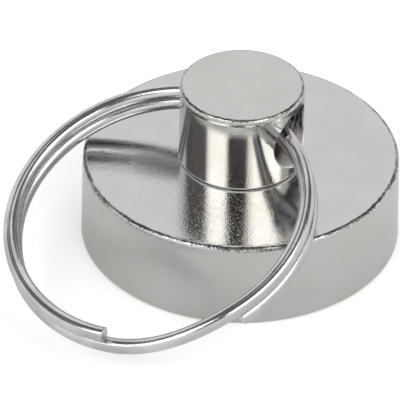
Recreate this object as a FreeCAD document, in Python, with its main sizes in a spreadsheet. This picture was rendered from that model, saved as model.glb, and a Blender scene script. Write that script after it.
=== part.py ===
import FreeCAD, Part
import Sketcher
import math
import os

# Pot magnet with a drilled knob and a split ring, all sizes in millimetres.
# The origin is the centre of the underside, +Z points up through the knob,
# and the hole across the knob runs along X.

SIZES = {
    "pot_diameter": 25.0,        # underside of the pot
    "pot_top_diameter": 24.8,    # the wall draws in slightly toward the top
    "pot_height": 7.2,
    "pot_edge_radius": 0.4,
    "pot_rim_chamfer": 0.2,      # lower outer edge
    "plate_thickness": 3.0,      # steel over the magnet, which the knob's spigot goes through
    "magnet_diameter": 17.0,
    "potting_width": 1.2,        # resin between the magnet and the wall of the pot
    "potting_recess": 0.15,      # resin set back from the holding face
    "knob_diameter": 9.8,
    "knob_height": 6.65,         # above the top of the pot
    "knob_edge_radius": 0.32,
    "knob_foot_chamfer": 0.15,
    "hole_diameter": 5.1,        # across the knob at half its height
    "spigot_diameter": 5.0,      # pressed into the pot
    "ring_mean_radius": 11.7,
    "wire_diameter": 1.2,
    "turn_pitch": 1.3,           # between the centre lines of the two turns
    "crossover_start": 194.0,    # degrees round the ring from its point in the hole
    "crossover_sweep": 53.0,
    "ring_skew": 9.5,            # degrees between the ring and the hole, seen from above
    "ring_offset_along": -0.1,   # high point of the ring from the middle of the hole
    "ring_offset_across": 0.7,
    "ring_offset_up": 0.53,
    "rim_gap": 0.03,             # between the ring's wire and the pot's edge at rest
}


# Inside of the pot: the cavity follows from the magnet, the resin and the plate above them.
CAVITY_DIAMETER = "sizes.magnet_diameter + 2 * sizes.potting_width"
CAVITY_DEPTH = "sizes.pot_height - sizes.plate_thickness"


def make_sheet(doc):
    """Write every driving size to one sheet, one named cell each."""
    sheet = doc.addObject("Spreadsheet::Sheet", "sizes")
    for row, (name, value) in enumerate(SIZES.items(), start=1):
        sheet.set("A%d" % row, name)
        sheet.set("B%d" % row, "%g" % value)
        sheet.setAlias("B%d" % row, name)
    doc.recompute()
    return sheet


def size(sheet, name):
    """One size of the sheet as a plain number."""
    return float(sheet.get(name))


def make_body(doc, label, height_expression=None):
    """A body named after its piece, lifted to its place on the Z axis."""
    body = doc.addObject("PartDesign::Body", label)
    body.Label = label
    if height_expression:
        body.setExpression(".Placement.Base.z", height_expression)
    return body


def origin_plane(body, role):
    """The origin plane of a body with the given role."""
    for item in body.Origin.OriginFeatures:
        if item.Role == role:
            return item
    raise ValueError("no origin plane " + role)


def circle_sketch(body, role, name, diameter, height=None):
    """A sketched circle on an origin plane, at the origin or up the Y axis of the sketch."""
    sketch = body.newObject("Sketcher::SketchObject", name)
    sketch.AttachmentSupport = [(origin_plane(body, role), "")]
    sketch.MapMode = "FlatFace"
    start = FreeCAD.Vector(0, 1 if height else 0, 0)
    sketch.addGeometry(Part.Circle(start, FreeCAD.Vector(0, 0, 1), 1), False)
    if height:
        sketch.addConstraint(Sketcher.Constraint("PointOnObject", 0, 3, -2))
        index = sketch.addConstraint(Sketcher.Constraint("DistanceY", -1, 1, 0, 3, 1))
        sketch.renameConstraint(index, "height")
        sketch.setExpression("Constraints.height", height)
    else:
        sketch.addConstraint(Sketcher.Constraint("Coincident", 0, 3, -1, 1))
    index = sketch.addConstraint(Sketcher.Constraint("Diameter", 0, 2))
    sketch.renameConstraint(index, "diameter")
    sketch.setExpression("Constraints.diameter", diameter)
    return sketch


def pad(body, name, sketch, length, reverse=False):
    """Raise a sketch to a solid of the given length."""
    feature = body.newObject("PartDesign::Pad", name)
    feature.Profile = sketch
    feature.setExpression("Length", length)
    feature.Reversed = reverse
    return feature


def pocket(doc, body, name, sketch, length, symmetric=False, reverse=False):
    """Cut a sketch out of the body and make sure that material went away."""
    before = body.Shape.Volume
    feature = body.newObject("PartDesign::Pocket", name)
    feature.Profile = sketch
    feature.setExpression("Length", length)
    if symmetric:
        feature.SideType = "Symmetric"
    feature.Reversed = reverse
    doc.recompute()
    if feature.Shape.Volume >= before - 0.01:
        raise ValueError(name + " removed nothing")
    return feature


def round_edges(shape, radius, height):
    """Names of the full circular edges with a given radius at a given height."""
    names = []
    for number, edge in enumerate(shape.Edges, start=1):
        curve = edge.Curve
        if isinstance(curve, Part.Circle) and abs(curve.Radius - radius) < 0.01:
            if abs(curve.Center.z - height) < 0.01:
                names.append("Edge%d" % number)
    if not names:
        raise ValueError("no edge of radius %.3f at %.3f" % (radius, height))
    return names


def dress(doc, body, kind, name, base, edges, value_name, expression):
    """Fillet or chamfer the named edges by a size of the sheet."""
    feature = body.newObject("PartDesign::" + kind, name)
    feature.Base = (base, edges)
    feature.setExpression(value_name, expression)
    doc.recompute()
    return feature


def make_pot(doc, sheet):
    """Turned steel cup, slightly drawn in toward its top, open underneath."""
    body = make_body(doc, "pot")
    cup = body.newObject("PartDesign::AdditiveCone", "pot_outside")
    cup.AttachmentSupport = [(origin_plane(body, "XY_Plane"), "")]
    cup.MapMode = "FlatFace"
    cup.setExpression("Radius1", "sizes.pot_diameter / 2")
    cup.setExpression("Radius2", "sizes.pot_top_diameter / 2")
    cup.setExpression("Height", "sizes.pot_height")
    doc.recompute()
    cavity = circle_sketch(body, "XY_Plane", "cavity_outline", CAVITY_DIAMETER)
    pocket(doc, body, "magnet_cavity", cavity, CAVITY_DEPTH, reverse=True)
    bore = circle_sketch(body, "XY_Plane", "bore_outline", "sizes.spigot_diameter")
    last = pocket(doc, body, "spigot_bore", bore, "sizes.pot_height + 1", reverse=True)
    top = round_edges(last.Shape, size(sheet, "pot_top_diameter") / 2, size(sheet, "pot_height"))
    last = dress(doc, body, "Fillet", "top_edge", last, top, "Radius", "sizes.pot_edge_radius")
    foot = round_edges(last.Shape, size(sheet, "pot_diameter") / 2, 0.0)
    dress(doc, body, "Chamfer", "rim_edge", last, foot, "Size", "sizes.pot_rim_chamfer")
    return body


def make_magnet(doc):
    """Disc magnet against the floor of the cup, flush with the cup's rim."""
    body = make_body(doc, "magnet")
    outline = circle_sketch(body, "XY_Plane", "magnet_outline", "sizes.magnet_diameter")
    pad(body, "magnet_disc", outline, CAVITY_DEPTH)
    return body


def make_potting(doc):
    """Resin that fills the gap between the magnet and the wall of the cup."""
    body = make_body(doc, "potting_ring", "sizes.potting_recess")
    outside = circle_sketch(body, "XY_Plane", "potting_outside", CAVITY_DIAMETER)
    pad(body, "potting_disc", outside, CAVITY_DEPTH + " - sizes.potting_recess")
    doc.recompute()
    inside = circle_sketch(body, "XY_Plane", "potting_inside", "sizes.magnet_diameter")
    pocket(doc, body, "magnet_room", inside, "sizes.pot_height", reverse=True)
    return body


def make_knob(doc, sheet):
    """Polished knob with a cross hole, held by a spigot below its foot."""
    body = make_body(doc, "knob", "sizes.pot_height")
    outline = circle_sketch(body, "XY_Plane", "knob_outline", "sizes.knob_diameter")
    pad(body, "knob_post", outline, "sizes.knob_height")
    doc.recompute()
    radius = size(sheet, "knob_diameter") / 2
    top = round_edges(body.Tip.Shape, radius, size(sheet, "knob_height"))
    last = dress(doc, body, "Fillet", "knob_edge", body.Tip, top,
                 "Radius", "sizes.knob_edge_radius")
    foot = round_edges(last.Shape, radius, 0.0)
    dress(doc, body, "Chamfer", "knob_foot", last, foot, "Size", "sizes.knob_foot_chamfer")
    hole = circle_sketch(body, "YZ_Plane", "hole_outline", "sizes.hole_diameter",
                         "sizes.knob_height / 2")
    pocket(doc, body, "cross_hole", hole, "sizes.knob_diameter * 2", symmetric=True)
    spigot = circle_sketch(body, "XY_Plane", "spigot_outline", "sizes.spigot_diameter")
    pad(body, "spigot", spigot, "sizes.plate_thickness", reverse=True)
    doc.recompute()
    return body


def pot_clearance(sheet, tilt):
    """Least distance from the lower turn's wire to the pot, negative where it cuts in."""
    mean = size(sheet, "ring_mean_radius")
    edge = size(sheet, "pot_edge_radius")
    foot_radius = size(sheet, "pot_diameter") / 2
    top_radius = size(sheet, "pot_top_diameter") / 2
    height = size(sheet, "pot_height")
    place = ring_placement(sheet, tilt)
    least = None
    for step in range(720):
        angle = math.radians(step / 2)
        point = place.multVec(FreeCAD.Vector(mean * math.cos(angle), mean * math.sin(angle),
                                             -size(sheet, "turn_pitch") / 2))
        wall = foot_radius + (top_radius - foot_radius) * min(max(point.z / height, 0), 1)
        beyond = math.hypot(point.x, point.y) - (wall - edge)
        above = point.z - (height - edge)
        gap = math.hypot(max(beyond, 0), max(above, 0)) + min(max(beyond, above), 0)
        gap -= edge + size(sheet, "wire_diameter") / 2
        least = gap if least is None else min(least, gap)
    return least


def ring_placement(sheet, tilt):
    """Placement of the ring with its high point in the hole and a given tilt in degrees."""
    high = FreeCAD.Vector(size(sheet, "ring_offset_along"), size(sheet, "ring_offset_across"),
                          size(sheet, "pot_height") + size(sheet, "knob_height") / 2
                          + size(sheet, "ring_offset_up"))
    turn = FreeCAD.Rotation(FreeCAD.Vector(0, 0, 1), 90 - size(sheet, "ring_skew"))
    lean = FreeCAD.Rotation(FreeCAD.Vector(0, 1, 0), -tilt)
    rotation = turn.multiply(lean)
    reach = rotation.multVec(FreeCAD.Vector(size(sheet, "ring_mean_radius"), 0, 0))
    return FreeCAD.Placement(high - reach, rotation)


def resting_tilt(sheet):
    """Tilt at which the ring lies on the pot, found by halving the interval."""
    steep, flat = 60.0, 0.0
    for _ in range(40):
        middle = (steep + flat) / 2
        if pot_clearance(sheet, middle) > size(sheet, "rim_gap"):
            flat = middle
        else:
            steep = middle
    return flat


def round_point(radius, degrees, height):
    """Point at a radius, an angle and a height in the ring's own frame."""
    angle = math.radians(degrees)
    return FreeCAD.Vector(radius * math.cos(angle), radius * math.sin(angle), height)


def arc_from(start, tangent, end):
    """Circular arc from a point with a given tangent to another, and its end tangent."""
    chord = end - start
    along = FreeCAD.Vector(chord).normalize()
    side = (tangent - along * tangent.dot(along)).normalize()
    sag = chord.Length / 2 * math.tan(tangent.getAngle(along) / 2)
    middle = (start + end) * 0.5 + side * sag
    return Part.Arc(start, middle, end), along * (2 * tangent.dot(along)) - tangent


def crossover_arcs(mean, half, start, sweep):
    """Two arcs that climb from the lower turn to the upper one with no kink."""
    middle = start + sweep / 2
    outward = round_point(1, middle, 0)
    leave, arrive = round_point(1, start + 90, 0), round_point(-1, start + sweep + 90, 0)
    low, high = round_point(mean, start, -half), round_point(mean, start + sweep, half)
    near, far = mean * 0.95, mean * 1.05
    for _ in range(50):
        radius = (near + far) / 2
        meeting = round_point(radius, middle, 0)
        if arc_from(low, leave, meeting)[1].dot(outward) < 0:
            near = radius
        else:
            far = radius
    return arc_from(low, leave, meeting)[0], arc_from(high, arrive, meeting)[0]


def ring_path(sheet):
    """Centre line of the wire: lower turn, crossover and upper turn as one smooth wire."""
    mean = size(sheet, "ring_mean_radius")
    half = size(sheet, "turn_pitch") / 2
    start = size(sheet, "crossover_start")
    sweep = size(sheet, "crossover_sweep")

    def turn(height):
        circle = Part.Circle(FreeCAD.Vector(0, 0, height), FreeCAD.Vector(0, 0, 1), mean)
        return Part.ArcOfCircle(circle, math.radians(start + sweep - 360), math.radians(start))

    climb, level_out = crossover_arcs(mean, half, start, sweep)
    return Part.Wire([turn(-half).toShape(), climb.toShape(), level_out.toShape(),
                      turn(half).toShape()])


def make_ring(doc, sheet):
    """Two-turn split ring of round wire, leaning on the edge of the pot."""
    path = ring_path(sheet)
    first = path.Edges[0]
    begin, tangent = first.valueAt(first.FirstParameter), first.tangentAt(first.FirstParameter)
    section = Part.makeCircle(size(sheet, "wire_diameter") / 2, begin, tangent)
    wire = path.makePipe(Part.Face(Part.Wire(section)))
    if abs(wire.Volume - Part.Face(Part.Wire(section)).Area * path.Length) > 0.1:
        raise ValueError("the ring's volume is not its section times its length")
    ring = doc.addObject("Part::Feature", "split_ring")
    ring.Label = "split_ring"
    ring.Shape = wire
    ring.Placement = ring_placement(sheet, resting_tilt(sheet))
    return ring


def check(doc, pieces):
    """Stop at any object in error and any piece without one valid solid."""
    doc.recompute()
    for item in doc.Objects:
        if "Invalid" in item.State or "Error" in item.State:
            raise ValueError(item.Name + " is not valid: " + str(item.State))
    for piece in pieces:
        shape = piece.Shape
        if shape.isNull() or not shape.isValid() or len(shape.Solids) != 1:
            raise ValueError(piece.Label + " is not one valid solid")
        if shape.Volume <= 0:
            raise ValueError(piece.Label + " has no volume")


def main():
    """Build every piece, check it and write one file for each."""
    doc = FreeCAD.newDocument("pot_magnet")
    sheet = make_sheet(doc)
    pieces = [make_pot(doc, sheet), make_magnet(doc), make_potting(doc),
              make_knob(doc, sheet), make_ring(doc, sheet)]
    check(doc, pieces)
    os.makedirs("parts", exist_ok=True)
    for piece in pieces:
        piece.Shape.exportStep("parts/" + piece.Label + ".step")
        box = piece.Shape.BoundBox
        print("%s volume %.2f box %.2f %.2f %.2f to %.2f %.2f %.2f" % (
            piece.Label, piece.Shape.Volume, box.XMin, box.YMin, box.ZMin,
            box.XMax, box.YMax, box.ZMax))


main()
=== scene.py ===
import logging
import math
from dataclasses import dataclass, field, replace
from enum import Enum

import bmesh
import bpy
from bpy.types import Material, Mesh, NodeSocket, NodeTree, Object
from mathutils import Matrix, Vector


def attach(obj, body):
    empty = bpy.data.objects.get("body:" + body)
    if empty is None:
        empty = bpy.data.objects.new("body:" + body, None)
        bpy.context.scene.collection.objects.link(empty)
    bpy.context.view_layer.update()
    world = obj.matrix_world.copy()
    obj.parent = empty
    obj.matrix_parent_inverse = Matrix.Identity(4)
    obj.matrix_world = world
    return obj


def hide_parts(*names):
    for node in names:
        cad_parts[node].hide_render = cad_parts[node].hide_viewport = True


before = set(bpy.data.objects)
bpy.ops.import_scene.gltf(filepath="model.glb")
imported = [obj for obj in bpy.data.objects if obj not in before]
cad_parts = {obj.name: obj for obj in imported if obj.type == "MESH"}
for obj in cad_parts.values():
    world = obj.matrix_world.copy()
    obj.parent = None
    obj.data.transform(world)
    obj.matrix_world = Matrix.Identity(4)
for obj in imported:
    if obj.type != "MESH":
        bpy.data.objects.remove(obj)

LOG = logging.getLogger("pot_magnet")

Point2 = tuple[float, float]
Point3 = tuple[float, float, float]

MM = 0.001
# Two points of an outline, in millimetres, count as one below this distance.
NEAR = 1e-6
# Vertices of a mesh, in metres, are merged below this distance.
MERGE_DISTANCE = 1e-8
# Edges that turn by more than this are shaded sharp.
CREASE = math.radians(32)

# Noises that the finishes share, in cells per metre.
CLOUD_CELLS = 260.0
GRAIN_CELLS = 8500.0
SPECK_CELLS = 9500.0
# Where the cloudy noise goes from shade to tint, and where a speck stands out of its noise.
CLOUD_STEP = (0.35, 0.7)
SPECK_STEP = (0.64, 0.76)


class Body(Enum):
    """The rigid bodies that the pieces ride on."""

    MAGNET = "magnet_body"
    RING = "ring"


class Signal:
    """A node's output that can be used in ordinary arithmetic."""

    def __init__(self, graph: "Graph", socket: NodeSocket) -> None:
        """Keep the socket and the graph it belongs to."""
        self.graph = graph
        self.socket = socket

    def _math(self, operation: str, *operands: "Signal | float") -> "Signal":
        """Add one Math node with its operands in order."""
        return self.graph.node("ShaderNodeMath", {"operation": operation},
                               dict(enumerate(operands)))

    def __add__(self, other: "Signal | float") -> "Signal":
        """Sum."""
        return self._math("ADD", self, other)

    __radd__ = __add__

    def __sub__(self, other: "Signal | float") -> "Signal":
        """Difference."""
        return self._math("SUBTRACT", self, other)

    def __rsub__(self, other: "Signal | float") -> "Signal":
        """Reflected difference."""
        return self._math("SUBTRACT", other, self)

    def __mul__(self, other: "Signal | float") -> "Signal":
        """Product."""
        return self._math("MULTIPLY", self, other)

    __rmul__ = __mul__

    def __truediv__(self, other: "Signal | float") -> "Signal":
        """Quotient."""
        return self._math("DIVIDE", self, other)

    def __pow__(self, other: "Signal | float") -> "Signal":
        """Power."""
        return self._math("POWER", self, other)

    def larger(self, other: "Signal | float") -> "Signal":
        """The larger of two values."""
        return self._math("MAXIMUM", self, other)

    def cosine(self) -> "Signal":
        """Cosine of an angle in radians."""
        return self._math("COSINE", self)

    def sine(self) -> "Signal":
        """Sine of an angle in radians."""
        return self._math("SINE", self)

    def above(self, low: float, high: float) -> "Signal":
        """Smooth step from 0 at low to 1 at high."""
        return self.graph.node("ShaderNodeMapRange", {"interpolation_type": "SMOOTHSTEP"},
                               {"Value": self, "From Min": low, "From Max": high})

    def below(self, low: float, high: float) -> "Signal":
        """Smooth step from 1 at low to 0 at high."""
        return 1.0 - self.above(low, high)


class Graph:
    """Builds the nodes of one material, world or geometry tree."""

    def __init__(self, tree: NodeTree) -> None:
        """Start from an empty tree."""
        self.tree = tree
        tree.nodes.clear()

    def node(self, kind: str, settings: dict | None = None, inputs: dict | None = None,
             output: int | str = 0) -> Signal:
        """Add a node.

        Args:
            kind: the node's type.
            settings: properties set before the sockets.
            inputs: value or signal for each socket, by name or index.
            output: the output socket to hand back.

        Returns:
            The chosen output as a signal.
        """
        made = self.tree.nodes.new(kind)
        for name, value in (settings or {}).items():
            setattr(made, name, value)
        for key, value in (inputs or {}).items():
            if isinstance(value, Signal):
                self.tree.links.new(value.socket, made.inputs[key])
            else:
                made.inputs[key].default_value = value
        return Signal(self, made.outputs[output])

    def here(self) -> Signal:
        """Object coordinates."""
        return self.node("ShaderNodeTexCoord", output="Object")

    def along(self, axis: str, origin: float = 0.0) -> Signal:
        """One object coordinate, from an origin."""
        return self.node("ShaderNodeSeparateXYZ", None, {0: self.here()}, axis) - origin

    def spread(self, plane: str, level: float = 0.0) -> Signal:
        """Distance from an axis in a plane.

        Args:
            plane: "XY" for the distance from the Z axis, "YZ" from a line along X.
            level: where the axis crosses the plane's second coordinate.

        Returns:
            The distance in metres.
        """
        first = self.along(plane[0])
        second = self.along(plane[1], level)
        return (first * first + second * second) ** 0.5

    def noise(self, cells: float, detail: float = 2.0, at: Signal | None = None) -> Signal:
        """Noise from 0 to 1 with a number of cells per metre."""
        return self.node("ShaderNodeTexNoise", None,
                         {"Vector": at or self.here(), "Scale": cells, "Detail": detail})

    def stretched(self, cells: Point3) -> Signal:
        """Object coordinates with their own number of cells per metre along each axis."""
        return self.node("ShaderNodeVectorMath", {"operation": "MULTIPLY"},
                         {0: self.here(), 1: cells})

    def turned(self, around: float, outward: float) -> Signal:
        """Noise drawn out along circles about the Z axis, as a lathe leaves it.

        Args:
            around: cells per radian round the axis.
            outward: cells per metre away from the axis.

        Returns:
            The noise, from 0 to 1.
        """
        reach = self.spread("XY")
        place = self.node("ShaderNodeCombineXYZ", None,
                          {0: self.along("X") / reach * around,
                           1: self.along("Y") / reach * around,
                           2: reach * outward})
        return self.noise(1.0, 2.0, place)

    def blend(self, share: "Signal | float", first: "Signal | Point3",
              second: "Signal | Point3") -> Signal:
        """Mix two colours.

        Args:
            share: 0 for the first colour, 1 for the second.
            first: colour at share 0.
            second: colour at share 1.

        Returns:
            The mixed colour.
        """
        ends = [end if isinstance(end, Signal) else (*end, 1.0) for end in (first, second)]
        return self.node("ShaderNodeMix", {"data_type": "RGBA"},
                         {0: share, 6: ends[0], 7: ends[1]}, 2)

    def end(self, kind: str, signal: Signal, socket: str = "Surface") -> None:
        """Connect a signal to an output node of the given type."""
        target = self.tree.nodes.new(kind)
        self.tree.links.new(signal.socket, target.inputs[socket])


@dataclass
class Coat:
    """Colour, roughness and relief of a finish while its layers are laid on.

    The cloud is the slow noise that the whole finish shares.
    """

    graph: Graph
    cloud: Signal
    colour: Signal
    roughness: Signal
    height: Signal


class Layer:
    """A local change of a finish."""

    def lay(self, coat: Coat) -> None:
        """Change a coat where this layer lies."""
        raise NotImplementedError


@dataclass(frozen=True)
class TurnedTop(Layer):
    """A turned flat top and its chipped rounding with a painted dark reflection band, lengths
    in metres.

    Places on the rounding are counted in roundings, inward from the radius or down from the
    top's level, each as the start and the end of a soft step.
    """

    radius: float
    level: float
    rounding: float
    turning: float = 0.0
    # Where the painted dark reflection band lies on the rounding, counted in roundings.
    painted_band_inner: Point2 = (0.8, 0.66)
    painted_band_outer: Point2 = (0.26, 0.12)
    painted_band_foot: Point2 = (1.0, 0.8)
    chips_inner: Point2 = (1.2, 0.6)
    chips_foot: Point2 = (2.0, 1.0)
    flat_from: Point2 = (0.5, 0.1)
    # Jagged edges and breaks of the painted dark reflection band.
    jag: float = 0.8
    jag_cells: float = 3800.0
    wander: float = 0.7
    break_cells: float = 700.0
    break_step: Point2 = (0.36, 0.62)
    # Least and added strength of the painted dark reflection band, then its tone.
    painted_band_faintest: float = 0.38
    painted_band_strength: float = 0.5
    painted_reflection_tone: Point3 = (0.05, 0.046, 0.048)
    chip_cells: float = 5200.0
    chip_relief: float = 4e-5
    turning_cells: Point2 = (40.0, 7500.0)

    def inward(self, shares: Point2) -> Point2:
        """Distances from the axis for places counted inward."""
        return tuple(self.radius - share * self.rounding for share in shares)

    def down(self, shares: Point2) -> Point2:
        """Heights for places counted down."""
        return tuple(self.level - share * self.rounding for share in shares)

    def lay(self, coat: Coat) -> None:
        """Lay on the jagged painted dark reflection band, the chips and the turning marks.

        Args:
            coat: the coat that is changed.
        """
        graph = coat.graph
        out, up = graph.spread("XY"), graph.along("Z")
        jags = (graph.noise(self.jag_cells, 4.0) - 0.5) * self.jag \
            + (coat.cloud - 0.5) * self.wander
        jagged = out + jags * self.rounding
        # A painted dark reflection band on the rounding, where the dark surround overhead would
        # show in the plate.
        line = jagged.above(*self.inward(self.painted_band_inner)) \
            * jagged.below(*self.inward(self.painted_band_outer)) \
            * up.above(*self.down(self.painted_band_foot))
        breaks = graph.noise(self.break_cells, 3.0).above(*self.break_step)
        # The painted dark reflection is laid into the colour, stronger where the breaks allow.
        coat.colour = graph.blend(line * (breaks * self.painted_band_strength + self.painted_band_faintest),
                                  coat.colour, self.painted_reflection_tone)
        chipped = out.above(*self.inward(self.chips_inner)) \
            * up.above(*self.down(self.chips_foot))
        chips = graph.noise(self.chip_cells, 3.0)
        coat.height = coat.height + chipped * chips * self.chip_relief
        if self.turning:
            flat = up.above(*self.down(self.flat_from))
            marks = graph.turned(*self.turning_cells)
            coat.height = coat.height + flat * marks * self.turning


@dataclass(frozen=True)
class DrilledHoleWithPaintedLight(Layer):
    """The wall of a hole drilled along X, with painted light and shade, lengths in metres.

    The wall is painted lit low down near its mouths and painted in shade further in, darkest
    higher up; near the mouths its drill streaks higher up are painted lit.
    """

    radius: float
    level: float
    skin: Point2 = (2e-5, 8e-5)
    mouth: Point2 = (1.1, 1.5)
    low: Point2 = (0.75, 0.35)
    streak_cells: Point3 = (5500.0, 800.0, 800.0)
    streak_step: Point2 = (0.45, 0.58)
    streak_share: float = 0.85
    streak_relief: float = 1.2e-5
    # Painted light near the mouths, and painted shade further in, lighter low down than high
    # up.
    painted_light_tone: Point3 = (1.0, 0.985, 0.985)
    painted_shade_low: Point3 = (0.61, 0.56, 0.55)
    painted_shade_high: Point3 = (0.36, 0.33, 0.325)
    rougher: float = 0.12
    rougher_low: float = 0.14
    rougher_bright: float = 0.28

    def lay(self, coat: Coat) -> None:
        """Lay the drilled wall, with its painted light and shade, over a coat.

        Args:
            coat: the coat that is changed.
        """
        graph = coat.graph
        inside = graph.spread("YZ", self.level).below(*(self.radius + reach
                                                        for reach in self.skin))
        mouth = graph.spread("XY").above(*(share * self.radius for share in self.mouth))
        lower = graph.along("Z").below(*(self.level - share * self.radius
                                         for share in self.low))
        # Drill streaks along X: real marks, which also carry painted light in the upper wall
        # near the mouths.
        streaks = graph.noise(1.0, 3.0, graph.stretched(self.streak_cells))
        streaked = (1.0 - lower) * streaks.above(*self.streak_step) * self.streak_share
        # Painted light on the lower wall and the upper streaks near the mouths; painted shade
        # elsewhere in the hole.
        light = mouth * (lower + streaked)
        painted_shade = graph.blend(lower, self.painted_shade_high, self.painted_shade_low)
        coat.colour = graph.blend(inside, coat.colour, graph.blend(light, painted_shade, self.painted_light_tone))
        coat.roughness = coat.roughness + inside * (
            self.rougher + lower * self.rougher_low + light * self.rougher_bright)
        coat.height = coat.height + inside * streaks * self.streak_relief


@dataclass(frozen=True)
class FootSeamAndPaintedHighlight(Layer):
    """The dark seam round a foot and a painted highlight on the lip above it, lengths in metres
    above its level.
    """

    level: float
    seam: Point2 = (6e-5, 1e-4)
    lip: Point2 = (1.9e-4, 2.4e-4)
    seam_share: float = 0.8
    seam_tone: Point3 = (0.10, 0.09, 0.09)
    # Tone of the painted highlight on the lip.
    painted_highlight_tone: Point3 = (1.0, 1.0, 0.99)
    lip_roughness: float = 0.5

    def lay(self, coat: Coat) -> None:
        """Lay the seam and the lip's painted highlight over a coat.

        Args:
            coat: the coat that is changed.
        """
        graph = coat.graph
        rise = graph.along("Z", self.level)
        seam = rise.below(*self.seam)
        # A painted highlight in a thin band just above the seam.
        lip = rise.below(*self.lip) * (1.0 - seam)
        coat.colour = graph.blend(seam * self.seam_share, coat.colour, self.seam_tone)
        coat.colour = graph.blend(lip, coat.colour, self.painted_highlight_tone)
        coat.roughness = coat.roughness + lip * self.lip_roughness


@dataclass(frozen=True)
class Finish:
    """Nickel plate, a cut face or resin; the relief's heights and sizes in metres."""

    name: str
    tint: Point3
    shade: Point3
    roughness: float
    uneven: float
    ripple: float
    ripple_size: float
    grain: float = 0.0
    speckle: float = 0.0
    metallic: float = 1.0
    layers: tuple[Layer, ...] = ()

    def material(self) -> Material:
        """Build the material.

        Returns:
            A node material whose tint, roughness and small relief vary over the surface.
        """
        made = bpy.data.materials.new(self.name)
        made.use_nodes = True
        graph = Graph(made.node_tree)
        cloud = graph.noise(CLOUD_CELLS, 3.0)
        fine = graph.noise(GRAIN_CELLS, 2.0)
        specks = graph.noise(SPECK_CELLS, 1.0).above(*SPECK_STEP)
        ripples = graph.noise(1.0 / self.ripple_size, 1.0)
        coat = Coat(
            graph, cloud,
            colour=graph.blend(cloud.above(*CLOUD_STEP), self.shade, self.tint),
            roughness=self.roughness + self.uneven * (cloud - 0.5) + self.uneven * (fine - 0.5),
            height=ripples * self.ripple + fine * self.grain + specks * self.speckle)
        for layer in self.layers:
            layer.lay(coat)
        bump = graph.node("ShaderNodeBump", None,
                          {"Strength": 1.0, "Distance": 1.0, "Height": coat.height})
        surface = graph.node("ShaderNodeBsdfPrincipled", None,
                             {"Base Color": coat.colour, "Roughness": coat.roughness,
                              "Metallic": self.metallic, "Normal": bump})
        graph.end("ShaderNodeOutputMaterial", surface)
        return made


SATIN_NICKEL = Finish(
    "satin_nickel_plate", tint=(0.572, 0.582, 0.592), shade=(0.556, 0.552, 0.541),
    roughness=0.10, uneven=0.05, ripple=2e-6, ripple_size=0.004, grain=5e-6, speckle=4e-6)
POLISHED_NICKEL = Finish(
    "polished_nickel_plate", tint=(0.57, 0.562, 0.548), shade=(0.535, 0.527, 0.513),
    roughness=0.06, uneven=0.03, ripple=1.2e-6, ripple_size=0.0022, grain=4e-6, speckle=1e-6)
WIRE_NICKEL = Finish(
    "bright_nickel_wire", tint=(0.64, 0.645, 0.655), shade=(0.49, 0.495, 0.505),
    roughness=0.15, uneven=0.10, ripple=1.5e-6, ripple_size=0.0012, grain=4e-6, speckle=2e-6)
MAGNET_PLATE = Finish(
    "plated_magnet_face", tint=(0.50, 0.50, 0.50), shade=(0.44, 0.44, 0.44),
    roughness=0.30, uneven=0.08, ripple=2e-6, ripple_size=0.002, grain=1e-6)
CUT_WIRE = Finish(
    "cut_wire_end", tint=(0.80, 0.80, 0.80), shade=(0.70, 0.70, 0.70),
    roughness=0.42, uneven=0.1, ripple=2e-6, ripple_size=0.0004, grain=4e-6)
CAST_RESIN = Finish(
    "black_casting_resin", tint=(0.035, 0.035, 0.04), shade=(0.025, 0.025, 0.028),
    roughness=0.55, uneven=0.15, ripple=1e-5, ripple_size=0.0012, metallic=0.0)


def arc(centre: Point2, radius: float, start: float, end: float, steps: int) -> list[Point2]:
    """Points along an arc in the radius and height plane.

    Args:
        centre: the arc's centre.
        radius: its radius.
        start: its first angle, in degrees.
        end: its last angle, in degrees.
        steps: number of even parts.

    Returns:
        The points in order.
    """
    turns = [math.radians(start + (end - start) * step / steps) for step in range(steps + 1)]
    return [(centre[0] + radius * math.cos(turn), centre[1] + radius * math.sin(turn))
            for turn in turns]


def run(start: Point2, end: Point2, steps: int = 1, guard: float = 0.05) -> list[Point2]:
    """Points of a straight run, with guard points that keep its shading flat.

    Args:
        start: first point.
        end: last point.
        steps: number of even parts.
        guard: distance of the guard points from the ends, in millimetres.

    Returns:
        The points in order, or only the two ends of a very short run.
    """
    length = math.dist(start, end)
    if length < 4 * guard:
        return [start, end]
    shares = sorted({0.0, guard / length, 1 - guard / length, 1.0,
                     *(step / steps for step in range(1, steps))})
    return [(start[0] + (end[0] - start[0]) * share, start[1] + (end[1] - start[1]) * share)
            for share in shares]


def without_repeats(points: list[Point2]) -> list[Point2]:
    """Leave out each point that repeats the one before it.

    Args:
        points: an outline's points in millimetres.

    Returns:
        The points that stay.
    """
    kept: list[Point2] = []
    for point in points:
        if not kept or math.dist(point, kept[-1]) > NEAR:
            kept.append(point)
    return kept


def new_object(name: str, mesh: Mesh) -> Object:
    """Make an object and link it to the scene.

    Args:
        name: the object's name.
        mesh: its mesh.

    Returns:
        The object, at the origin.
    """
    made = bpy.data.objects.new(name, mesh)
    bpy.context.scene.collection.objects.link(made)
    return made


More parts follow.
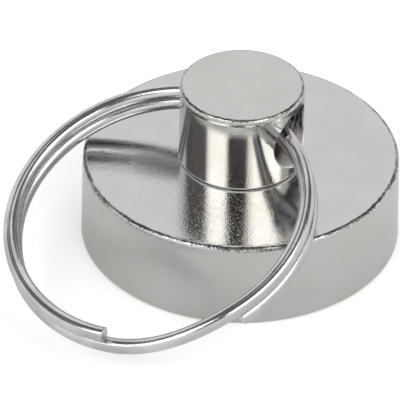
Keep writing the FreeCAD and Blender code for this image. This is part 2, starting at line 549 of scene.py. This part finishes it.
@dataclass
class Skin:
    """Vertices and faces of a closed mesh as it is built up, in millimetres.

    The lift raises the whole piece in the end.
    """

    lift: float = 0.0
    points: list[Point3] = field(default_factory=list)
    faces: list[tuple[int, ...]] = field(default_factory=list)

    def add(self, point: Point3) -> int:
        """Add a vertex and hand back its number."""
        self.points.append(point)
        return len(self.points) - 1

    def circle(self, radius: float, height: float, count: int) -> list[int]:
        """Add a row of vertices round the Z axis, or one tip where the radius is nothing.

        Args:
            radius: distance from the axis.
            height: its height before the lift.
            count: number of places in the row.

        Returns:
            The vertex at each place of the row.
        """
        if radius < NEAR:
            return [self.add((0.0, 0.0, height))] * count
        turns = [2 * math.pi * step / count for step in range(count)]
        return [self.add((radius * math.cos(turn), radius * math.sin(turn), height))
                for turn in turns]

    def band(self, one: list[int], two: list[int]) -> None:
        """Join two closed rows of vertices, with triangles where a row is a tip.

        Args:
            one: the vertex at each place of the first row.
            two: the same for the second row.
        """
        for i in range(len(one)):
            j = (i + 1) % len(one)
            face = tuple(dict.fromkeys((one[i], one[j], two[j], two[i])))
            if len(face) > 2:
                self.faces.append(face)

    def piece(self, name: str) -> Object:
        """Make the piece.

        Args:
            name: its name.

        Returns:
            The piece in metres, smooth but for its creases, with its normals outwards.
        """
        mesh = bpy.data.meshes.new(name)
        points = [(x * MM, y * MM, (z + self.lift) * MM) for x, y, z in self.points]
        mesh.from_pydata(points, [], self.faces)
        work = bmesh.new()
        work.from_mesh(mesh)
        bmesh.ops.remove_doubles(work, verts=work.verts, dist=MERGE_DISTANCE)
        bmesh.ops.recalc_face_normals(work, faces=work.faces)
        for face in work.faces:
            face.smooth = True
        for edge in work.edges:
            if len(edge.link_faces) == 2 and edge.calc_face_angle(0.0) > CREASE:
                edge.smooth = False
        work.to_mesh(mesh)
        work.free()
        return new_object(name, mesh)


def turned_piece(name: str, outline: list[Point2], segments: int) -> Object:
    """Spin a closed outline about the Z axis.

    Args:
        name: the piece's name.
        outline: (radius, height) points in millimetres.
        segments: number of steps round the axis.

    Returns:
        The turned piece.
    """
    skin = Skin()
    rows = [skin.circle(radius, height, segments)
            for radius, height in without_repeats(outline)]
    for lower, upper in zip(rows, rows[1:] + rows[:1]):
        skin.band(lower, upper)
    return skin.piece(name)


def dress(piece: Object, body: Body, slot: str, *nodes: str,
          finish: Finish | None = None) -> Object:
    """Give a piece its finish, its body and the CAD nodes that it stands for.

    Args:
        piece: the finished object.
        body: the body that it rides on.
        slot: the record's material slot; not used.
        nodes: the CAD nodes it replaces.
        finish: the finish to make, if the piece has none yet.

    Returns:
        The same piece.
    """
    if finish:
        piece.data.materials.append(finish.material())
    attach(piece, body.value)
    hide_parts(*nodes)
    return piece


@dataclass
class Pot:
    """The steel cup with the magnet and the resin in its underside, sizes in millimetres."""

    radius: float = 12.5
    top_radius: float = 12.4
    height: float = 7.2
    edge: float = 0.4
    rim: float = 0.2
    rim_guard: float = 0.02
    bore: float = 2.5
    cavity: float = 9.7
    depth: float = 4.2
    magnet_radius: float = 8.5
    magnet_edge: float = 0.12
    resin_recess: float = 0.15
    resin_sag: float = 0.12
    resin_gap: float = 0.004
    resin_steps: int = 8
    shell_segments: int = 240
    inner_segments: int = 160
    turning_relief: float = 0.007

    def shell(self) -> Object:
        """Turn the cup, with its rounded top edge and its open underside.

        Returns:
            The cup.
        """
        lean = (self.radius - self.top_radius) / self.height
        wall_top = self.height - self.edge
        outer = self.radius - lean * wall_top
        outline = run((self.cavity, 0.0), (self.radius - self.rim, 0.0))
        outline += run((self.radius - self.rim, 0.0), (self.radius, self.rim),
                       guard=self.rim_guard)
        outline += run((self.radius - lean * self.rim, self.rim), (outer, wall_top), 10)
        outline += arc((outer - self.edge, wall_top), self.edge, 0.0, 90.0, 10)
        outline += run((outer - self.edge, self.height), (self.bore, self.height), 12)
        outline += run((self.bore, self.height), (self.bore, self.depth))
        outline += run((self.bore, self.depth), (self.cavity, self.depth), 3)
        outline += run((self.cavity, self.depth), (self.cavity, 0.0))
        return turned_piece("pot_shell", outline[:-1], self.shell_segments)

    def magnet(self) -> Object:
        """Turn the disc magnet, with slightly broken edges.

        Returns:
            The magnet.
        """
        edge, radius = self.magnet_edge, self.magnet_radius
        outline = run((0.0, 0.0), (radius - edge, 0.0), 6)
        outline += arc((radius - edge, edge), edge, -90.0, 0.0, 4)
        outline += run((radius, edge), (radius, self.depth))
        outline += [(0.0, self.depth)]
        return turned_piece("magnet_disc", outline, self.inner_segments)

    def resin(self) -> Object:
        """Turn the resin between the magnet and the wall, drawn in a little at its middle.

        Returns:
            The resin.
        """
        inner, outer = self.magnet_radius + self.resin_gap, self.cavity - self.resin_gap
        shares = [step / self.resin_steps for step in range(self.resin_steps + 1)]
        outline = [(inner + (outer - inner) * share,
                    self.resin_recess + self.resin_sag * math.sin(math.pi * share))
                   for share in shares]
        outline += [(outer, self.depth), (inner, self.depth)]
        return turned_piece("potting_fill", outline, self.inner_segments)

    def plating(self) -> Finish:
        """Satin nickel with turning marks on the flat top, and a chipped top edge with a
        painted dark reflection band.

        Returns:
            The finish for the cup.
        """
        # The top's rounding carries a painted dark reflection band as well as chips.
        top = TurnedTop(self.top_radius * MM, self.height * MM, self.edge * MM,
                        turning=self.turning_relief * MM)
        return replace(SATIN_NICKEL, layers=(top,))

    def build(self) -> list[Object]:
        """Make and dress the cup, the magnet and the resin.

        Returns:
            The three pieces.
        """
        return [
            dress(self.shell(), Body.MAGNET, "pot_nickel", "pot", finish=self.plating()),
            dress(self.magnet(), Body.MAGNET, "magnet_face", "magnet", finish=MAGNET_PLATE),
            dress(self.resin(), Body.MAGNET, "potting_resin", "potting_ring",
                  finish=CAST_RESIN)]


@dataclass
class SideGrid:
    """Vertices on the knob's side, each made when it is first asked for."""

    skin: Skin
    radius: float
    levels: list[float]
    columns: int
    made: dict[tuple[int, int], int] = field(default_factory=dict)

    def corner(self, column: int, row: int) -> int:
        """Find the vertex at a place of the grid, or make it.

        Args:
            column: its column, counted round the axis.
            row: its row, counted up from the foot.

        Returns:
            The vertex's number.
        """
        key = (column % self.columns, row)
        if key not in self.made:
            turn = 2 * math.pi * key[0] / self.columns
            self.made[key] = self.skin.add((self.radius * math.cos(turn),
                                            self.radius * math.sin(turn), self.levels[row]))
        return self.made[key]

    def row(self, row: int) -> list[int]:
        """All vertices of a row."""
        return [self.corner(column, row) for column in range(self.columns)]


@dataclass
class Knob:
    """The turned knob with its cross hole along X, sizes in millimetres."""

    radius: float = 4.9
    height: float = 6.65
    base: float = Pot.height
    edge: float = 0.32
    foot: float = 0.15
    hole: float = 2.55
    lip: float = 0.13
    lip_steps: int = 5
    spigot: float = Pot.bore
    spigot_length: float = 3.0
    guard: float = 0.04
    below_patch: float = 0.3
    patch_low: float = 0.45
    patch_high: float = 0.5
    patch_rows: int = 26
    half_patch: int = 28
    first_row: int = 3
    columns: int = 240
    wall_steps: int = 10
    mouth_shares: tuple[float, ...] = (0.72, 0.5, 0.32, 0.18, 0.08, 0.03, 0.0)

    def levels(self) -> list[float]:
        """Set out the grid's rows on the side of the knob.

        Returns:
            Their heights above the foot.
        """
        low, high = self.patch_low, self.height - self.patch_high
        inner = [low + (high - low) * row / self.patch_rows
                 for row in range(self.patch_rows + 1)]
        shoulder = self.height - self.edge
        return [self.foot, self.foot + self.guard, self.below_patch, *inner,
                shoulder - self.guard, shoulder]

    def on_side(self, across: float, height: float, sign: float) -> Point3:
        """Point of the side at a distance across the hole's axis, on the mouth's side."""
        return (sign * math.sqrt(self.radius ** 2 - across ** 2), across, height)

    def side(self, grid: SideGrid) -> None:
        """Add the side's faces, leaving out the two patches that the mouths are cut into.

        Args:
            grid: the side's vertices.
        """
        last_row = self.first_row + self.patch_rows
        for row in range(len(grid.levels) - 1):
            for column in range(self.columns):
                shift = (column + self.half_patch) % (self.columns // 2)
                if self.first_row <= row < last_row and shift < 2 * self.half_patch:
                    continue
                grid.skin.faces.append(
                    (grid.corner(column, row), grid.corner(column + 1, row),
                     grid.corner(column + 1, row + 1), grid.corner(column, row + 1)))

    def border(self, grid: SideGrid, middle: int) -> list[int]:
        """Vertices round a patch.

        Args:
            grid: the side's vertices.
            middle: the patch's middle column.

        Returns:
            The vertices in order round the patch.
        """
        half, first, last = self.half_patch, self.first_row, self.first_row + self.patch_rows
        loop = [(column, first) for column in range(-half, half)]
        loop += [(half, row) for row in range(first, last)]
        loop += [(column, last) for column in range(half, -half, -1)]
        loop += [(-half, row) for row in range(last, first, -1)]
        return [grid.corner(middle + column, row) for column, row in loop]

    def mouth(self, skin: Skin, border: list[int], sign: float) -> list[int]:
        """Fill a patch round its mouth, with a softened lip into the hole.

        Args:
            skin: the skin that is added to.
            border: the vertices round the patch.
            sign: 1 for the mouth at +X, -1 for the mouth at -X.

        Returns:
            The vertices where the hole's wall starts, in order round the hole.
        """
        centre = self.height / 2
        outer = self.hole + self.lip
        places = [skin.points[index][1:] for index in border]
        turns = [math.atan2(height - centre, across) for across, height in places]
        rings = [border]
        for share in self.mouth_shares:
            ring = []
            for (across, height), turn in zip(places, turns):
                y = across * share + outer * math.cos(turn) * (1 - share)
                z = height * share + (centre + outer * math.sin(turn)) * (1 - share)
                ring.append(skin.add(self.on_side(y, z, sign)))
            rings.append(ring)
        for step in range(1, self.lip_steps + 1):
            share = step / self.lip_steps
            rings.append([self.on_lip(skin, turn, share, sign) for turn in turns])
        for one, two in zip(rings, rings[1:]):
            skin.band(one, two)
        order = sorted(range(len(border)), key=lambda place: turns[place])
        return [rings[-1][place] for place in order]

    def on_lip(self, skin: Skin, turn: float, share: float, sign: float) -> int:
        """Add a vertex on the rounded lip.

        Args:
            skin: the skin that is added to.
            turn: angle round the hole.
            share: 0 on the knob's side, 1 on the hole's wall.
            sign: 1 for the mouth at +X, -1 for the mouth at -X.

        Returns:
            The vertex's number.
        """
        start, sharp = (Vector(self.on_side(radius * math.cos(turn),
                                            self.height / 2 + radius * math.sin(turn), sign))
                        for radius in (self.hole + self.lip, self.hole))
        end = sharp - Vector((sign * self.lip, 0, 0))
        rest = 1 - share
        return skin.add(tuple(start * rest ** 2 + sharp * 2 * share * rest
                              + end * share * share))

    def wall(self, skin: Skin, front: list[int], back: list[int]) -> None:
        """Add the hole's wall between its two mouths.

        Args:
            skin: the skin that is added to.
            front: vertices round the mouth at +X.
            back: vertices round the mouth at -X.
        """
        strips = [front]
        for step in range(1, self.wall_steps):
            share = step / self.wall_steps
            strips.append([
                skin.add(tuple(Vector(skin.points[one]).lerp(Vector(skin.points[two]), share)))
                for one, two in zip(front, back)])
        strips.append(back)
        for one, two in zip(strips, strips[1:]):
            skin.band(one, two)

    def ends(self, grid: SideGrid) -> None:
        """Add the rounded top, and the foot with the spigot under it.

        Args:
            grid: the side's vertices.
        """
        inset = self.radius - self.edge
        top = arc((inset, self.height - self.edge), self.edge, 0.0, 90.0, 8)[1:]
        top += run((inset, self.height), (0.0, self.height), 8)[1:]
        bottom = run((self.radius - self.foot, 0.0), (self.spigot, 0.0), 2)
        bottom += [(self.spigot, -self.spigot_length), (0.0, -self.spigot_length)]
        for start_row, outline in ((len(grid.levels) - 1, top),
                                   (0, without_repeats(bottom))):
            before = grid.row(start_row)
            for radius, height in outline:
                after = grid.skin.circle(radius, height, self.columns)
                grid.skin.band(before, after)
                before = after

    def post(self) -> Object:
        """Make the side with its two mouths, the hole's wall and the turned ends.

        Returns:
            The knob.
        """
        skin = Skin(lift=self.base)
        grid = SideGrid(skin, self.radius, self.levels(), self.columns)
        self.side(grid)
        front = self.mouth(skin, self.border(grid, 0), 1.0)
        back = self.mouth(skin, self.border(grid, self.columns // 2), -1.0)
        self.wall(skin, front, back)
        self.ends(grid)
        return skin.piece("knob_post")

    def plating(self) -> Finish:
        """Polished nickel, chipped round the top with a painted dark reflection band, with
        painted light and shade in the drilled hole, and a dark seam and painted highlight at
        the foot.

        Returns:
            The finish for the knob.
        """
        # These layers paint a dark reflection band on the top edge, light and shade in the hole
        # and a highlight at the foot.
        top = TurnedTop(self.radius * MM, (self.base + self.height) * MM, self.edge * MM)
        hole = DrilledHoleWithPaintedLight(self.hole * MM, (self.base + self.height / 2) * MM)
        return replace(POLISHED_NICKEL, layers=(top, hole, FootSeamAndPaintedHighlight(self.base * MM)))

    def build(self) -> list[Object]:
        """Make and dress the knob."""
        return [dress(self.post(), Body.MAGNET, "knob_nickel", "knob", finish=self.plating())]


@dataclass
class SplitRing:
    """The two-turn split ring of round wire, sizes in millimetres and degrees."""

    mean_radius: float = 11.7
    wire: float = 1.2
    pitch: float = 1.3
    cross_start: float = 194.0
    cross_sweep: float = 53.0
    skew: float = 9.5
    high_point: Point3 = (-0.1, 0.7, 11.055)
    tilt: float = 20.81
    end_break: float = 0.05
    end_steps: int = 3
    points: int = 560
    sides: int = 40

    def placement(self) -> Matrix:
        """Work out how the ring lies.

        Returns:
            The turn and shift from the ring's own frame to where it leans on the pot.
        """
        turn = Matrix.Rotation(math.radians(90 - self.skew), 4, "Z")
        lean = Matrix.Rotation(math.radians(-self.tilt), 4, "Y")
        rotation = turn @ lean
        reach = rotation @ Vector((self.mean_radius * MM, 0, 0))
        return Matrix.Translation(Vector(self.high_point) * MM - reach) @ rotation

    def add_inputs(self, group: NodeTree) -> None:
        """Give a node group its output and its named sizes, in metres and radians.

        Args:
            group: the node group.
        """
        face = group.interface
        face.new_socket("Geometry", in_out="OUTPUT", socket_type="NodeSocketGeometry")
        cross_end = self.cross_start + self.cross_sweep
        lengths = {"Mean Radius": self.mean_radius * MM, "Wire Radius": self.wire / 2 * MM,
                   "Half Pitch": self.pitch / 2 * MM,
                   "Start": math.radians(cross_end - 360),
                   "Cross Start": math.radians(self.cross_start),
                   "Cross End": math.radians(cross_end),
                   "End": math.radians(self.cross_start + 360)}
        counts = {"Points": self.points, "Sides": self.sides}
        for sizes, kind in ((lengths, "NodeSocketFloat"), (counts, "NodeSocketInt")):
            for name, value in sizes.items():
                socket = face.new_socket(name, in_out="INPUT", socket_type=kind)
                socket.default_value = value

    def tree(self, material: Material) -> NodeTree:
        """Geometry nodes that wind the wire round two turns with a crossover between them.

        Args:
            material: the wire's finish.

        Returns:
            The node group, with named inputs for the ring's sizes.
        """
        group = bpy.data.node_groups.new("wind_split_ring", "GeometryNodeTree")
        self.add_inputs(group)
        graph = Graph(group)
        given = group.nodes.new("NodeGroupInput")

        def size(name: str) -> Signal:
            """One of the group's inputs."""
            return Signal(graph, given.outputs[name])

        line = graph.node("GeometryNodeMeshLine", {"mode": "OFFSET"}, {"Count": size("Points")})
        share = graph.node("GeometryNodeInputIndex") / (size("Points") - 1.0)
        angle = size("Start") + share * (size("End") - size("Start"))
        rise = graph.node("ShaderNodeMapRange", {"interpolation_type": "SMOOTHSTEP"},
                          {"Value": angle, "From Min": size("Cross Start"),
                           "From Max": size("Cross End"), "To Min": -1.0, "To Max": 1.0})
        place = graph.node("ShaderNodeCombineXYZ", None,
                           {"X": angle.cosine() * size("Mean Radius"),
                            "Y": angle.sine() * size("Mean Radius"),
                            "Z": rise * size("Half Pitch")})
        moved = graph.node("GeometryNodeSetPosition", None,
                           {"Geometry": line, "Position": place})
        curve = graph.node("GeometryNodeMeshToCurve", None, {"Mesh": moved})
        level = graph.node("GeometryNodeSetCurveNormal", {"mode": "Z_UP"}, {"Curve": curve})
        section = graph.node("GeometryNodeCurvePrimitiveCircle", None,
                             {"Resolution": size("Sides"), "Radius": size("Wire Radius")})
        wire = graph.node("GeometryNodeCurveToMesh", None,
                          {"Curve": level, "Profile Curve": section, "Fill Caps": True})
        whole = graph.node("GeometryNodeRealizeInstances", None, {"Geometry": wire})
        dressed = graph.node("GeometryNodeSetMaterial", None,
                             {"Geometry": whole, "Material": material})
        graph.end("NodeGroupOutput", dressed, "Geometry")
        return group

    def wound(self) -> Object:
        """Evaluate the winding and keep it as a plain mesh where the ring lies.

        Returns:
            The ring as an object at the origin, with its finishes.
        """
        carrier = new_object("ring_carrier", bpy.data.meshes.new("ring_carrier"))
        winding = carrier.modifiers.new("winding", "NODES")
        winding.node_group = self.tree(WIRE_NICKEL.material())
        for socket in winding.node_group.interface.items_tree:
            if socket.in_out == "INPUT":
                winding[socket.identifier] = socket.default_value
        graph = bpy.context.evaluated_depsgraph_get()
        mesh = bpy.data.meshes.new_from_object(carrier.evaluated_get(graph))
        mesh.transform(self.placement())
        bpy.data.objects.remove(carrier)
        ring = new_object("split_ring_wire", mesh)
        ring.data.materials.append(CUT_WIRE.material())
        self.finish_ends(ring)
        return ring

    def finish_ends(self, ring: Object) -> None:
        """Shade the wire smooth, with its cut ends sharp and slightly broken.

        Args:
            ring: the wound ring, with the wire's finish first and the cut ends' second.
        """
        work = bmesh.new()
        work.from_mesh(ring.data)
        bmesh.ops.recalc_face_normals(work, faces=work.faces)
        caps = [face for face in work.faces if len(face.verts) > 4]
        rims = [edge for face in caps for edge in face.edges]
        bmesh.ops.bevel(work, geom=rims, offset=self.end_break * MM, segments=self.end_steps,
                        affect="EDGES", profile=0.5)
        for face in work.faces:
            face.smooth = len(face.verts) <= 4
            face.material_index = 0 if face.smooth else 1
        work.to_mesh(ring.data)
        work.free()

    def build(self) -> list[Object]:
        """Wind and dress the ring."""
        return [dress(self.wound(), Body.RING, "ring_nickel", "split_ring")]


@dataclass(frozen=True)
class SoftBox:
    """An even lamp; its place and its span in degrees, seen from the part."""

    name: str
    side: float
    height: float
    spread: float
    tall: float
    radiance: float = 2.3
    colour: Point3 = (1.0, 0.975, 0.90)
    distance: float = 1.2


@dataclass(frozen=True)
class Card:
    """A flat card that only shows in reflections, placed as a soft box is."""

    name: str
    side: float
    height: float
    spread: float
    tall: float
    shade: Point3 = (0.18, 0.167, 0.165)
    distance: float = 1.4


@dataclass(frozen=True)
class Canopy:
    """A bent card overhead, between two sides and two elevations in degrees."""

    name: str
    sides: Point2
    low: float
    high: float
    shade: Point3 = (0.165, 0.168, 0.175)
    distance: float = 1.3
    steps: int = 36


SOFT_BOXES = (SoftBox("left_soft_box", side=-45.5, height=44.5, spread=33.0, tall=28.0),
              SoftBox("right_soft_box", side=45.0, height=44.5, spread=52.0, tall=28.0))
CARDS = (Card("front_card", side=-3.5, height=39.5, spread=40.0, tall=18.0,
              shade=(0.063, 0.053, 0.060)),
         Card("left_card", side=-91.0, height=40.5, spread=50.0, tall=19.5),
         Card("right_card", side=123.0, height=40.5, spread=38.0, tall=19.5))
CANOPIES = (Canopy("canopy", sides=(-145.0, 145.0), low=50.0, high=77.0),
            Canopy("ceiling", sides=(-100.0, 100.0), low=77.0, high=89.9))


def half_span(distance: float, degrees: float) -> float:
    """Half the width that spans some degrees at a distance."""
    return distance * math.tan(math.radians(degrees / 2))


def rectangle(name: str, across: float, up: float) -> Object:
    """Make a flat rectangle about the origin.

    Args:
        name: its name.
        across: half its width along X.
        up: half its depth along Y.

    Returns:
        The rectangle.
    """
    mesh = bpy.data.meshes.new(name)
    mesh.from_pydata([(-across, -up, 0), (across, -up, 0), (across, up, 0), (-across, up, 0)],
                     [], [(0, 1, 2, 3)])
    return new_object(name, mesh)


@dataclass
class Studio:
    """Camera, floor, lamps and reflecting cards round the part.

    The camera's place is in degrees and millimetres, the room's sizes in metres.
    """

    bearing: float = 26.6
    elevation: float = 36.589
    roll: float = 0.76586
    shift_right: float = 3.13263
    shift_up: float = -2.14611
    distance: float = 509.8338
    focal_pixels: float = 6452.438
    sensor: float = 36.0
    frame_pixels: int = 400
    clip: Point2 = (0.01, 50.0)
    floor_reach: float = 6.0
    floor_drop: float = 2e-5
    paper: Point3 = (0.785, 0.79, 0.79)
    paper_glow: Point3 = (0.30, 0.30, 0.30)
    surround: Point3 = (0.78, 0.78, 0.78)
    white: Point3 = (1.0, 1.0, 1.0)
    black: Point3 = (0.0, 0.0, 0.0)

    def camera(self) -> None:
        """Set up the camera at the photograph's place and angle."""
        rise, roll = math.radians(self.elevation), math.radians(self.roll)
        forward = Vector((0, math.cos(rise), -math.sin(rise)))
        right = Vector((1, 0, 0))
        up = right.cross(forward)
        across = right * math.cos(roll) + up * math.sin(roll)
        upward = -right * math.sin(roll) + up * math.cos(roll)
        spot = -(across * self.shift_right + upward * self.shift_up + forward * self.distance)
        turn = Matrix.Rotation(math.radians(self.bearing), 3, "Z")
        basis = Matrix((turn @ across, turn @ upward, turn @ -forward)).transposed()
        data = bpy.data.cameras.new("camera")
        data.sensor_width = self.sensor
        data.lens = self.focal_pixels * self.sensor / self.frame_pixels
        data.clip_start, data.clip_end = self.clip
        made = bpy.data.objects.new("camera", data)
        made.matrix_world = Matrix.Translation(turn @ spot * MM) @ basis.to_4x4()
        bpy.context.scene.collection.objects.link(made)
        bpy.context.scene.camera = made

    def direction(self, side: float, height: float) -> Vector:
        """Direction seen from the part.

        Args:
            side: degrees to the right of the camera's bearing.
            height: degrees above the floor.

        Returns:
            The direction, of length 1.
        """
        bearing, turn = math.radians(self.bearing), math.radians(side)
        toward = Vector((math.sin(bearing), -math.cos(bearing), 0))
        right = Vector((math.cos(bearing), math.sin(bearing), 0))
        flat = toward * math.cos(turn) + right * math.sin(turn)
        rise = math.radians(height)
        return flat * math.cos(rise) + Vector((0, 0, math.sin(rise)))

    def facing(self, made: SoftBox | Card) -> Matrix:
        """Work out where a lamp or card stands and how it is turned.

        Args:
            made: the soft box or card.

        Returns:
            Its place, with its -Z looking at the part.
        """
        away = self.direction(made.side, made.height)
        turn = (-away).to_track_quat("-Z", "Y").to_matrix().to_4x4()
        return Matrix.Translation(away * made.distance) @ turn

    def lamp(self, box: SoftBox) -> None:
        """Hang a soft box with an even radiance.

        Args:
            box: the soft box.
        """
        data = bpy.data.lights.new(box.name, "AREA")
        data.shape = "RECTANGLE"
        data.size = 2 * half_span(box.distance, box.spread)
        data.size_y = 2 * half_span(box.distance, box.tall)
        data.energy = box.radiance * math.pi * data.size * data.size_y
        data.color = box.colour
        made = bpy.data.objects.new(box.name, data)
        made.matrix_world = self.facing(box)
        made.visible_camera = False
        bpy.context.scene.collection.objects.link(made)

    def card(self, card: Card) -> None:
        """Stand a card where it faces the part.

        Args:
            card: the card.
        """
        made = rectangle(card.name, half_span(card.distance, card.spread),
                         half_span(card.distance, card.tall))
        made.matrix_world = self.facing(card)
        self.only_reflected(made, card.shade)

    def canopy(self, canopy: Canopy) -> None:
        """Bend a canopy over the part.

        Args:
            canopy: the canopy.
        """
        start, end = canopy.sides
        sides = [start + (end - start) * step / canopy.steps
                 for step in range(canopy.steps + 1)]
        points = [tuple(self.direction(side, height) * canopy.distance)
                  for height in (canopy.low, canopy.high) for side in sides]
        row = len(sides)
        faces = [(i, i + 1, row + i + 1, row + i) for i in range(canopy.steps)]
        mesh = bpy.data.meshes.new(canopy.name)
        mesh.from_pydata(points, [], faces)
        self.only_reflected(new_object(canopy.name, mesh), canopy.shade)

    def only_reflected(self, made: Object, shade: Point3) -> None:
        """Give a card an even colour and hide it from all but reflections.

        Args:
            made: the card's object.
            shade: its colour.
        """
        made.visible_camera = False
        made.visible_diffuse = False
        made.visible_shadow = False
        material = bpy.data.materials.new(made.name)
        material.use_nodes = True
        graph = Graph(material.node_tree)
        glow = graph.node("ShaderNodeEmission", None, {"Color": (*shade, 1.0)})
        graph.end("ShaderNodeOutputMaterial", glow)
        made.data.materials.append(material)

    def floor(self) -> None:
        """Lay the pale floor, white to the camera, with the part's shadow."""
        floor = rectangle("floor", self.floor_reach, self.floor_reach)
        floor.location.z = -self.floor_drop
        material = bpy.data.materials.new("floor_paper")
        material.use_nodes = True
        graph = Graph(material.node_tree)
        camera = graph.node("ShaderNodeLightPath", output="Is Camera Ray")
        glow = graph.blend(camera, self.black, self.paper_glow)
        surface = graph.node("ShaderNodeBsdfPrincipled", None,
                             {"Base Color": (*self.paper, 1.0), "Roughness": 1.0,
                              "Specular IOR Level": 0.0,
                              "Emission Color": glow, "Emission Strength": 1.0})
        graph.end("ShaderNodeOutputMaterial", surface)
        floor.data.materials.append(material)

    def world(self) -> None:
        """Set up an even surround, white to the camera and in reflections."""
        world = bpy.data.worlds.new("surround")
        bpy.context.scene.world = world
        world.use_nodes = True
        graph = Graph(world.node_tree)
        camera, glossy, through = [
            graph.node("ShaderNodeLightPath", output=ray)
            for ray in ("Is Camera Ray", "Is Glossy Ray", "Is Transmission Ray")]
        seen = camera.larger(glossy.larger(through))
        colour = graph.blend(seen, self.surround, self.white)
        back = graph.node("ShaderNodeBackground", None, {"Color": colour, "Strength": 1.0})
        graph.end("ShaderNodeOutputWorld", back)

    def build(self) -> None:
        """Set up everything round the part."""
        self.camera()
        self.world()
        self.floor()
        for box in SOFT_BOXES:
            self.lamp(box)
        for card in CARDS:
            self.card(card)
        for canopy in CANOPIES:
            self.canopy(canopy)
        bpy.context.scene.view_settings.view_transform = "Standard"


def main() -> None:
    """Build the studio and the sub-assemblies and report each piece."""
    logging.basicConfig(level=logging.INFO, format="%(name)s %(message)s")
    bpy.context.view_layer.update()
    Studio().build()
    for assembly in (Pot(), Knob(), SplitRing()):
        for piece in assembly.build():
            LOG.info("%s: %d faces", piece.name, len(piece.data.polygons))


if __name__ == "__main__":
    main()
